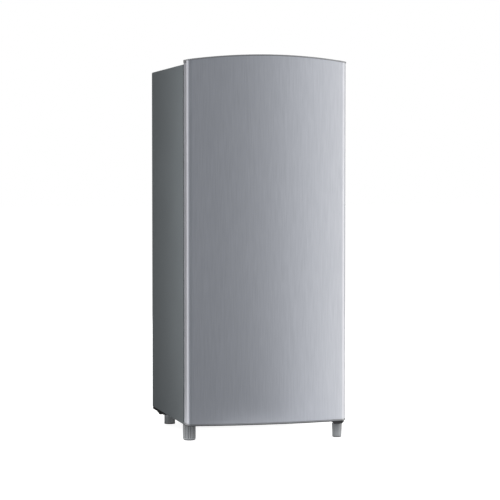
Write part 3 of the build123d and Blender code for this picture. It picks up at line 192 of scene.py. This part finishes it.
def metal(name, colour, rough=0.3, stretch=(1, 1, 1), grain=400.0, depth=0.00002, spread=0.08, share=1.0):
    """Bare metal, or with a share under 1 a satin finish that scatters more light."""
    t = Tree(name)
    fine = t.noise(grain, 3.0, 0.6, stretch)
    mixed = t.colours(fine, 0.3, near(colour, 1 - spread), 0.7, near(colour, 1 + spread))
    gloss = t.ramp(fine, 0.3, 0.7, rough - 0.06, rough + 0.08)
    return t.surface(mixed, gloss, t.bump(fine, 0.3, depth), Metallic=share)


def clear(name, colour, rough=0.06, ior=1.5):
    """Clear moulded plastic or glass."""
    t = Tree(name)
    mixed = t.colours(t.noise(14.0, 2.0), 0.3, near(colour, 0.98), 0.7, colour)
    wave = t.noise(60.0, 2.0)
    gloss = t.ramp(wave, 0.3, 0.7, rough * 0.7, rough * 1.3)
    return t.surface(mixed, gloss, t.bump(wave, 0.1, 0.00005), Transmission_Weight=0.9, IOR=ior)


def brushed_door(name, dark, pale):
    """Vertical hairlines in silver steel, which spread a reflection sideways."""
    t = Tree(name)
    hair = t.noise(1.0, 5.0, 0.7, (2600.0, 2600.0, 9.0))
    streak = t.noise(1.0, 3.0, 0.6, (330.0, 330.0, 14.0))
    mixed = t.combined("ADD", t.ramp(hair, 0.25, 0.75, 0.0, 0.4), t.ramp(streak, 0.3, 0.7, 0.0, 0.6))
    colour = t.colours(mixed, 0.2, dark, 0.8, pale)
    gloss = t.ramp(hair, 0.3, 0.7, 0.29, 0.39)
    t.surface(colour, gloss, t.bump(hair, 0.2, 0.00002), Metallic=1.0, Anisotropic=0.6)
    tangent = t.add("ShaderNodeTangent", direction_type="RADIAL", axis="Z")
    t.link(tangent.outputs[0], t.shader.inputs["Tangent"])
    return t.material


# Heights in metres between which a foot goes from its own colour to its painted shade under the cabinet
FOOT_UNSHADED, FOOT_SHADED = 0.01, 0.05

looks = {
    "cabinet_paint": painted("cabinet_paint", (0.085, 0.095, 0.1005), 0.55, Specular_IOR_Level=0.05),
    "door_steel": brushed_door("door_steel", (0.466, 0.489, 0.541), (0.529, 0.551, 0.606)),
    "trim_plastic": moulded("trim_plastic", (0.26, 0.27, 0.285), 0.4, Metallic=0.85),
    "galvanised_sheet": metal("galvanised_sheet", (0.55, 0.56, 0.57), 0.42, (1, 1, 1), 60.0),
    "black_steel": painted("black_steel", (0.018, 0.018, 0.02), 0.38),
    "zinc_steel": metal("zinc_steel", (0.62, 0.63, 0.64), 0.3),
    "foam": moulded("foam", (0.8, 0.62, 0.3), 0.8, 300.0, 0.0006, 0.1),
    "liner_plastic": moulded("liner_plastic", (0.80, 0.81, 0.81), 0.32, 500.0, 0.00002, 0.015),
    "seal_rubber": moulded("seal_rubber", (0.36, 0.37, 0.38), 0.6),
    "magnet": moulded("magnet", (0.05, 0.05, 0.05), 0.7),
    "clear_plastic": clear("clear_plastic", (0.90, 0.95, 0.97), 0.08, 1.49),
    "white_plastic": moulded("white_plastic", (0.80, 0.81, 0.81), 0.4, 700.0, 0.00003, 0.015),
    "shelf_glass": clear("shelf_glass", (0.86, 0.95, 0.92), 0.03, 1.52),
    "freezer_aluminium": metal("freezer_aluminium", (0.72, 0.73, 0.75), 0.42, (1, 12, 1), 120.0, share=0.6),
    "copper": metal("copper", (0.78, 0.42, 0.27), 0.32),
    "black_plastic": moulded("black_plastic", (0.014, 0.014, 0.015), 0.6, Specular_IOR_Level=0.15),
    # The feet's looks paint shade into their flutes and towards their tops
    "foot_plastic": grooved("foot_plastic", (0.318, 0.332, 0.347), 0.55, Metallic=0.35),
    "bulb_glass": clear("bulb_glass", (0.97, 0.95, 0.9), 0.2, 1.45),
    "iron": metal("iron", (0.28, 0.28, 0.29), 0.55, (1, 1, 1), 500.0, 0.0001),
    "nylon": moulded("nylon", (0.78, 0.77, 0.72), 0.5),
    "soft_rubber": moulded("soft_rubber", (0.04, 0.04, 0.042), 0.65),
    "dial_ink": moulded("dial_ink", (0.06, 0.09, 0.14), 0.6, 300.0),
    "rear_foot": grooved("rear_foot", (0.32, 0.335, 0.35), 0.95, Metallic=0.35),
    # Painted shade: a black darker than the parts' own paint and rubber, for the shade under the cabinet
    "dull_black": painted("dull_black", (0.006, 0.006, 0.0065), 0.7, Specular_IOR_Level=0.08),
}

# Nodes under the cabinet whose look differs from their slot's. The base plate and rollers are black, and
# dull_black makes them darker still, as painted shade under the cabinet
own_looks = {"compressor_base_plate": "dull_black", "roller_left": "dull_black", "roller_right": "dull_black",
             "rear_feet": "rear_foot"}

for name, obj in nodes.items():
    for slot in obj.material_slots:
        found = own_looks.get(name) or next(key for key in looks if key in slot.material.name)
        slot.material = looks[found]


# Detail pieces, in millimetres, with y from the cabinet's front face backwards
FACE_Y = 200.55


def metres(x, y, z):
    return (x / 1000.0, (y - FACE_Y) / 1000.0, z / 1000.0)


def piece(name, corners, faces, look, body, smooth=False):
    """A mesh piece in millimetres, with its faces turned outwards, that rides on a body."""
    mesh = bpy.data.meshes.new(name)
    mesh.from_pydata([metres(*c) for c in corners], [], faces)
    work = bmesh.new()
    work.from_mesh(mesh)
    bmesh.ops.recalc_face_normals(work, faces=work.faces)
    work.to_mesh(mesh)
    work.free()
    for face in mesh.polygons:
        face.use_smooth = smooth
    mesh.materials.append(looks[look])
    made = bpy.data.objects.new(name, mesh)
    bpy.context.scene.collection.objects.link(made)
    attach(made, body)
    return made


def swept(profile, stations, closed):
    """A closed profile carried along stations, each a place, an across and an up direction."""
    corners, faces = [], []
    for place, across, up in stations:
        corners += [tuple(place[k] + a * across[k] + b * up[k] for k in range(3)) for a, b in profile]
    n, count = len(profile), len(stations)
    for i in range(count if closed else count - 1):
        j = (i + 1) % count
        faces += [(n * i + k, n * i + (k + 1) % n, n * j + (k + 1) % n, n * j + k) for k in range(n)]
    if not closed:
        faces += [tuple(range(n)), tuple(range(n * (count - 1), n * count))]
    return corners, faces


def joined(parts):
    """Several lists of corners and faces as one."""
    corners, faces = [], []
    for more, turns in parts:
        base = len(corners)
        corners += more
        faces += [tuple(base + k for k in face) for face in turns]
    return corners, faces


def rounded(points, radius, steps=6):
    """A line of 2-D points with its corners rounded."""
    line = [points[0]]
    for before, corner, after in zip(points, points[1:], points[2:]):
        a, b, c = Vector(before), Vector(corner), Vector(after)
        into, out = (b - a).normalized(), (c - b).normalized()
        half = into.angle(out) / 2.0
        cut = radius * math.tan(half)
        start, end = b - into * cut, b + out * cut
        side = 1.0 if into.x * out.y - into.y * out.x > 0 else -1.0
        centre = start + Vector((-into.y, into.x)) * radius * side
        for i in range(steps + 1):
            turn = side * 2.0 * half * i / steps
            arm = start - centre
            line.append((centre.x + arm.x * math.cos(turn) - arm.y * math.sin(turn),
                         centre.y + arm.x * math.sin(turn) + arm.y * math.cos(turn)))
    line.append(points[-1])
    return line


def ridge(line, placed, normal, profile, closed=False):
    """A raised bead along a 2-D line. placed turns a 2-D point into a place."""
    count = len(line)
    stations = []
    for i, point in enumerate(line):
        before = line[i - 1] if i or closed else point
        after = line[(i + 1) % count] if i < count - 1 or closed else point
        along = (Vector(placed(*after)) - Vector(placed(*before))).normalized()
        across = along.cross(Vector(normal)).normalized()
        stations.append((placed(*point), across, normal))
    return swept(profile, stations, closed)


def serpentine(a, b, passes):
    """A line that goes to and fro in the first direction, from corner a to corner b."""
    points = []
    for i in range(passes):
        level = a[1] + (b[1] - a[1]) * i / (passes - 1)
        ends = [a[0], b[0]] if i % 2 == 0 else [b[0], a[0]]
        points += [(ends[0], level), (ends[1], level)]
    return points


# Dark strip of black plastic under the door, along its front outline
DOOR_HALF, DOOR_EDGE, DOOR_FLANK, DOOR_BOW, DOOR_CORNER = 248.5, -52.0, -12.0, 23.3, 17.0
STRIP_LOW, STRIP_HIGH, STRIP_OUTER, STRIP_INNER = 53.5, 56.2, 1.0, 4.0
HINGE_SIDE_END = 211.0
CORNER_STEPS, BOW_STEPS = 12, 24


def door_line(inset):
    """The door's outline from above, from one flank round the bowed front to the other."""
    half, edge, radius = DOOR_HALF - inset, DOOR_EDGE + inset, DOOR_CORNER - inset
    bow_radius = (half ** 2 + DOOR_BOW ** 2) / (2.0 * DOOR_BOW)
    bow_y = edge - DOOR_BOW + bow_radius
    x = -half + radius
    y = bow_y - math.sqrt((bow_radius - radius) ** 2 - x ** 2)
    last = math.atan2(y - bow_y, x) % math.tau
    line = [(-half, DOOR_FLANK)]
    for i in range(CORNER_STEPS + 1):
        turn = math.pi + (last - math.pi) * i / CORNER_STEPS
        line.append((x + radius * math.cos(turn), y + radius * math.sin(turn)))
    start = math.atan2(line[-1][0], bow_y - line[-1][1])
    for i in range(1, BOW_STEPS):
        turn = start * (1.0 - i / BOW_STEPS)
        line.append((bow_radius * math.sin(turn), bow_y - bow_radius * math.cos(turn)))
    line.append((0.0, bow_y - bow_radius))
    return line + [(-u, v) for u, v in reversed(line[:-1])]


strip = []
for outer, inner in zip(door_line(STRIP_OUTER), door_line(STRIP_INNER)):
    if outer[0] > HINGE_SIDE_END:
        break
    strip.append([(*outer, STRIP_LOW), (*outer, STRIP_HIGH), (*inner, STRIP_HIGH), (*inner, STRIP_LOW)])
corners = [c for ring in strip for c in ring]
faces = [(4 * i + k, 4 * i + (k + 1) % 4, 4 * i + 4 + (k + 1) % 4, 4 * i + 4 + k)
         for i in range(len(strip) - 1) for k in range(4)]
faces += [(0, 1, 2, 3), tuple(len(corners) - 4 + k for k in range(4))]
piece("door_drip_edge", corners, faces, "black_plastic", "door")


# Door seal: magnet pocket, bellows, base and dart
SEAL_HALF, SEAL_LOW, SEAL_HIGH, SEAL_ROUND, SEAL_WIDTH = 233.0, 68.0, 1121.0, 16.0, 14.0
SEAL_STEPS = 6


def seal_stations():
    """Places round the seal's outer edge, with its corners rounded."""
    stations = []
    for quarter in range(4):
        x = (SEAL_HALF - SEAL_ROUND) * (1 if quarter in (0, 3) else -1)
        z = SEAL_HIGH - SEAL_ROUND if quarter in (0, 1) else SEAL_LOW + SEAL_ROUND
        for i in range(SEAL_STEPS + 1):
            turn = math.pi / 2.0 * (quarter + i / SEAL_STEPS)
            out = (math.cos(turn), math.sin(turn))
            stations.append(((x + SEAL_ROUND * out[0], 0.0, z + SEAL_ROUND * out[1]),
                             (-out[0], 0.0, -out[1]), (0.0, 1.0, 0.0)))
    return stations


lip = [(1.3, -0.3), (0.6, -0.6), (0.3, -1.2), (0.3, -2.9), (1.0, -3.6), (2.6, -4.0), (0.9, -4.5), (0.2, -5.1),
       (0.9, -5.7), (2.4, -6.1), (0.2, -6.4), (0.2, -6.8)]
pocket = lip + [(SEAL_WIDTH - a, b) for a, b in reversed(lip)]
dart = [(5.5, -6.7), (5.5, -10.2), (6.5, -11.6), (7.5, -11.6), (8.5, -10.2), (8.5, -6.7)]
seal = piece("door_seal", *joined([swept(pocket, seal_stations(), True), swept(dart, seal_stations(), True)]),
             "seal_rubber", "door")
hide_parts("door_gasket")


# Raised channels of the evaporator sheet, inside the freezer box
BOX_HALF, BOX_FLOOR, BOX_ROOF = 188.0, 942.0, 1088.0
channel = [(-3.6, -0.3), (-2.7, 0.6), (-1.2, 1.1), (1.2, 1.1), (2.7, 0.6), (3.6, -0.3)]
plan = rounded(serpentine((-150.0, 105.0), (150.0, 360.0), 7), 20.0)
side = rounded(serpentine((105.0, 968.0), (365.0, 1066.0), 4), 15.0)
channels = [ridge(plan, lambda u, v: (u, v, BOX_FLOOR), (0.0, 0.0, 1.0), channel),
            ridge(plan, lambda u, v: (u, v, BOX_ROOF), (0.0, 0.0, -1.0), channel),
            ridge(side, lambda u, v: (-BOX_HALF, u, v), (1.0, 0.0, 0.0), channel),
            ridge(side, lambda u, v: (BOX_HALF, u, v), (-1.0, 0.0, 0.0), channel)]
piece("evaporator_channels", *joined(channels), "freezer_aluminium", "cabinet", smooth=True)


# Thermostat dial: numbers on the housing and a raised pointer on the knob
DIAL_Y, DIAL_Z, DIAL_FACE, KNOB_FACE = 150.0, 805.0, 170.5, 156.1
FIRST_TURN, TURN_STEP = -45.0, 54.0
NUMBER_REACH, NUMBER_HEIGHT, NUMBER_RISE = 31.0, 8.5, 0.15
POINTER_START, POINTER_END = 13.0, 19.5
for number in range(6):
    turn = math.radians(FIRST_TURN + TURN_STEP * number)
    text = bpy.data.curves.new("dial_number_%d" % number, "FONT")
    text.body = str(number)
    text.size = NUMBER_HEIGHT / 1000.0
    text.extrude = NUMBER_RISE / 1000.0
    text.align_x = "CENTER"
    text.align_y = "CENTER"
    text.materials.append(looks["dial_ink"])
    made = bpy.data.objects.new("dial_number_%d" % number, text)
    back, up = -NUMBER_REACH * math.cos(turn), NUMBER_REACH * math.sin(turn)
    made.location = metres(DIAL_FACE, DIAL_Y + back, DIAL_Z + up)
    made.rotation_euler = (math.pi / 2.0, 0.0, -math.pi / 2.0)
    bpy.context.scene.collection.objects.link(made)
    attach(made, "cabinet")

pointer = [(-1.3, -0.3), (-1.0, 0.45), (-0.6, 0.6), (0.6, 0.6), (1.0, 0.45), (1.3, -0.3)]
aim = math.radians(FIRST_TURN)
reach = [(r * math.cos(aim), r * math.sin(aim)) for r in (POINTER_START, POINTER_END)]
mark = ridge(reach, lambda u, v: (KNOB_FACE, DIAL_Y - u, DIAL_Z + v), (-1.0, 0.0, 0.0), pointer)
piece("knob_pointer", *mark, "black_plastic", "thermostat")


# Pressed beads and screws of the back panel
BACK, BEAD_ROUND = 455.8, 26.0
bead = [(-6.0, -0.3), (-4.0, 0.7), (-2.0, 1.2), (2.0, 1.2), (4.0, 0.7), (6.0, -0.3)]
beads = []
for left, right in ((-196.0, -24.0), (24.0, 196.0)):
    for low_z, high_z in ((330.0, 640.0), (700.0, 1060.0)):
        middle = ((left + right) / 2.0, low_z)
        outline = [middle, (right, low_z), (right, high_z), (left, high_z), (left, low_z), middle]
        line = rounded(outline, BEAD_ROUND)[:-1]
        beads.append(ridge(line, lambda u, v: (u, BACK, v), (0.0, 1.0, 0.0), bead, True))
piece("back_panel_beads", *joined(beads), "galvanised_sheet", "cabinet", smooth=True)


def pan_head():
    """Corners and faces of a pan head with a cross slot, flat side on y 0."""
    rings = [(4.0, 0.0), (4.0, 1.2), (3.6, 1.9), (2.8, 2.4), (1.5, 2.65)]
    slot_reach, slot_half, slot_top, slot_floor, slot_taper = 1.5, 0.35, 2.66, 1.6, 0.8
    sides = 16
    work = bmesh.new()
    loops = [[work.verts.new((r * math.cos(math.tau * k / sides), y, r * math.sin(math.tau * k / sides)))
              for k in range(sides)] for r, y in rings]
    for a, b in zip(loops, loops[1:]):
        for k in range(sides):
            work.faces.new((a[k], a[(k + 1) % sides], b[(k + 1) % sides], b[k]))
    work.faces.new(loops[0])
    cross = []
    for k in range(4):
        turn = math.tau * k / 4
        for a, b in ((slot_reach, -slot_half), (slot_reach, slot_half), (slot_half, slot_half)):
            cross.append((a * math.cos(turn) - b * math.sin(turn), a * math.sin(turn) + b * math.cos(turn)))
    top = [work.verts.new((x, slot_top, z)) for x, z in cross]
    floor = [work.verts.new((x * slot_taper, slot_floor, z * slot_taper)) for x, z in cross]
    bends = len(cross)
    for k in range(bends):
        work.faces.new((top[k], top[(k + 1) % bends], floor[(k + 1) % bends], floor[k]))
    work.faces.new(floor)
    crown = [work.edges.get((loops[-1][k], loops[-1][(k + 1) % sides])) for k in range(sides)]
    slot = [work.edges.get((top[k], top[(k + 1) % bends])) for k in range(bends)]
    bmesh.ops.triangle_fill(work, edges=crown + slot, use_beauty=True)
    work.verts.index_update()
    found = [tuple(v.co) for v in work.verts], [tuple(v.index for v in f.verts) for f in work.faces]
    work.free()
    return found


SCREW_X, SCREW_TOP = 238.0, 1120.0
places = [(x, z) for x in (-SCREW_X, SCREW_X) for z in (262.0, 430.0, 600.0, 770.0, 940.0, 1112.0)]
places += [(x, SCREW_TOP) for x in (-120.0, 0.0, 120.0)]
head_corners, head_faces = pan_head()
heads = [([(x + a, BACK + b, z + c) for a, b, c in head_corners], head_faces) for x, z in places]
piece("back_panel_screws", *joined(heads), "zinc_steel", "cabinet")


# Stage: floor, cards, lamps and world
def seen_directly(tree):
    """1 for camera, glossy and transmission rays, and 0 for the light that falls on the object."""
    path = tree.nodes.new("ShaderNodeLightPath")
    total = path.outputs["Is Camera Ray"]
    for kind in ("Is Glossy Ray", "Is Transmission Ray"):
        larger = tree.nodes.new("ShaderNodeMath")
        larger.operation = "MAXIMUM"
        tree.links.new(total, larger.inputs[0])
        tree.links.new(path.outputs[kind], larger.inputs[1])
        total = larger.outputs[0]
    return total


def staged(name, corners, faces, material):
    """A mesh of the stage, in metres."""
    mesh = bpy.data.meshes.new(name)
    mesh.from_pydata(corners, [], faces)
    mesh.materials.append(material)
    made = bpy.data.objects.new(name, mesh)
    bpy.context.scene.collection.objects.link(made)
    return made


def floor_paint():
    """Pale matt floor: lit parts are seen as white, and the object's shadow stays a soft grey."""
    t = Tree("floor_paint")
    matt = t.add("ShaderNodeBsdfDiffuse")
    matt.inputs["Color"].default_value = (*FLOOR_COLOUR, 1.0)
    glow = t.add("ShaderNodeEmission")
    glow.inputs["Color"].default_value = (1.0, 1.0, 1.0, 1.0)
    t.link(t.ramp(seen_directly(t.tree), 0.0, 1.0, 0.0, FLOOR_GLOW), glow.inputs["Strength"])
    both = t.add("ShaderNodeAddShader")
    t.link(matt.outputs[0], both.inputs[0])
    t.link(glow.outputs[0], both.inputs[1])
    t.link(both.outputs[0], t.out.inputs["Surface"])
    return t.material


def card_paint(name, colour):
    """A studio card that gloss sees in one even colour."""
    t = Tree(name)
    glow = t.add("ShaderNodeEmission")
    glow.inputs["Color"].default_value = (*colour, 1.0)
    t.link(glow.outputs[0], t.out.inputs["Surface"])
    return t.material


def card(name, centre, inner, start, end, colour, order=0):
    """An even sweep round a centre, floor and wall, from one compass angle to another. Only gloss sees it.

    The angles run from the front, -Y, towards the right, +X, in degrees. A higher order lies before a
    lower one.
    """
    steps = 12
    lift = CARD_LIFT * (1 + order)
    wall = CARD_WALL - CARD_STEP * order
    profile = [(inner, lift), (wall, lift), (wall, CARD_HEIGHT)]
    corners = []
    for i in range(steps + 1):
        angle = math.radians(start + (end - start) * i / steps)
        corners += [(centre[0] + r * math.sin(angle), centre[1] - r * math.cos(angle), z) for r, z in profile]
    row = len(profile)
    faces = [(row * i + k, row * (i + 1) + k, row * (i + 1) + k + 1, row * i + k + 1)
             for i in range(steps) for k in range(row - 1)]
    made = staged(name, corners, faces, card_paint(name, colour))
    made.visible_camera = False
    made.visible_diffuse = False
    made.visible_shadow = False
    made.visible_transmission = False


def lamp(name, place, target, width, height, level):
    """An area lamp whose face has the given brightness, where 1 is white. Gloss doesn't see it."""
    data = bpy.data.lights.new(name, "AREA")
    data.shape = "RECTANGLE"
    data.size = width
    data.size_y = height
    data.energy = level * math.pi * width * height
    made = bpy.data.objects.new(name, data)
    made.location = place
    made.rotation_euler = (Vector(target) - Vector(place)).to_track_quat("-Z", "Y").to_euler()
    made.visible_camera = False
    made.visible_glossy = False
    bpy.context.scene.collection.objects.link(made)


FLOOR_HALF = 40.0
FLOOR_COLOUR = (0.4, 0.4, 0.4)
FLOOR_GLOW = 0.87
floor_corners = [(x * FLOOR_HALF, y * FLOOR_HALF, 0.0) for x, y in ((-1, -1), (1, -1), (1, 1), (-1, 1))]
staged("floor", floor_corners, [(0, 1, 2, 3)], floor_paint())

CARD_WALL = 7.0
CARD_STEP = 0.2
CARD_LIFT = 0.0005
CARD_HEIGHT = 9.0
FRONT = (0.06, -0.27)
RIGHT_END = (0.24, -0.25)
LEFT_END = (-0.24, -0.25)
PANEL_FOOT = (-0.2, -0.1)
card("front_card", FRONT, 0.3, -85.0, 20.0, (0.33, 0.335, 0.34))
card("right_card", FRONT, 0.1, 20.0, 80.0, (0.96, 0.96, 0.97))
card("right_far_card", RIGHT_END, 0.1, 40.0, 100.0, (1.78, 1.72, 1.62), 1)
card("right_rear_card", RIGHT_END, 0.1, 100.0, 165.0, (0.5, 0.5, 0.5))
card("left_card", LEFT_END, 0.1, -151.0, -102.0, (1.27, 1.22, 1.18))
card("rear_left_card", PANEL_FOOT, 0.1, -200.0, -150.0, (0.1, 0.1, 0.1))

MIDDLE = (0.0, 0.0, 0.57)
lamp("key", (2.6, -3.4, 2.3), MIDDLE, 2.4, 2.8, 5.5)
lamp("top", (0.0, 0.3, 3.6), MIDDLE, 2.8, 2.8, 2.6)
lamp("rear", (0.6, 4.0, 2.0), MIDDLE, 2.6, 2.4, 4.5)
lamp("side", (3.2, 0.6, 1.4), MIDDLE, 2.4, 2.4, 1.5)
lamp("edge", (-0.7, -0.5, 0.8), (-0.25, -0.15, 0.8), 0.2, 1.5, 9.5)

WORLD_LIGHT = 0.36
world = bpy.data.worlds.new("world")
bpy.context.scene.world = world
world.use_nodes = True
tree = world.node_tree
tree.nodes.clear()
out = tree.nodes.new("ShaderNodeOutputWorld")
back = tree.nodes.new("ShaderNodeBackground")
back.inputs["Color"].default_value = (1.0, 1.0, 1.0, 1.0)
strength = tree.nodes.new("ShaderNodeMapRange")
strength.inputs["To Min"].default_value = WORLD_LIGHT
strength.inputs["To Max"].default_value = 1.0
tree.links.new(seen_directly(tree), strength.inputs["Value"])
tree.links.new(strength.outputs["Result"], back.inputs["Strength"])
tree.links.new(back.outputs["Background"], out.inputs["Surface"])
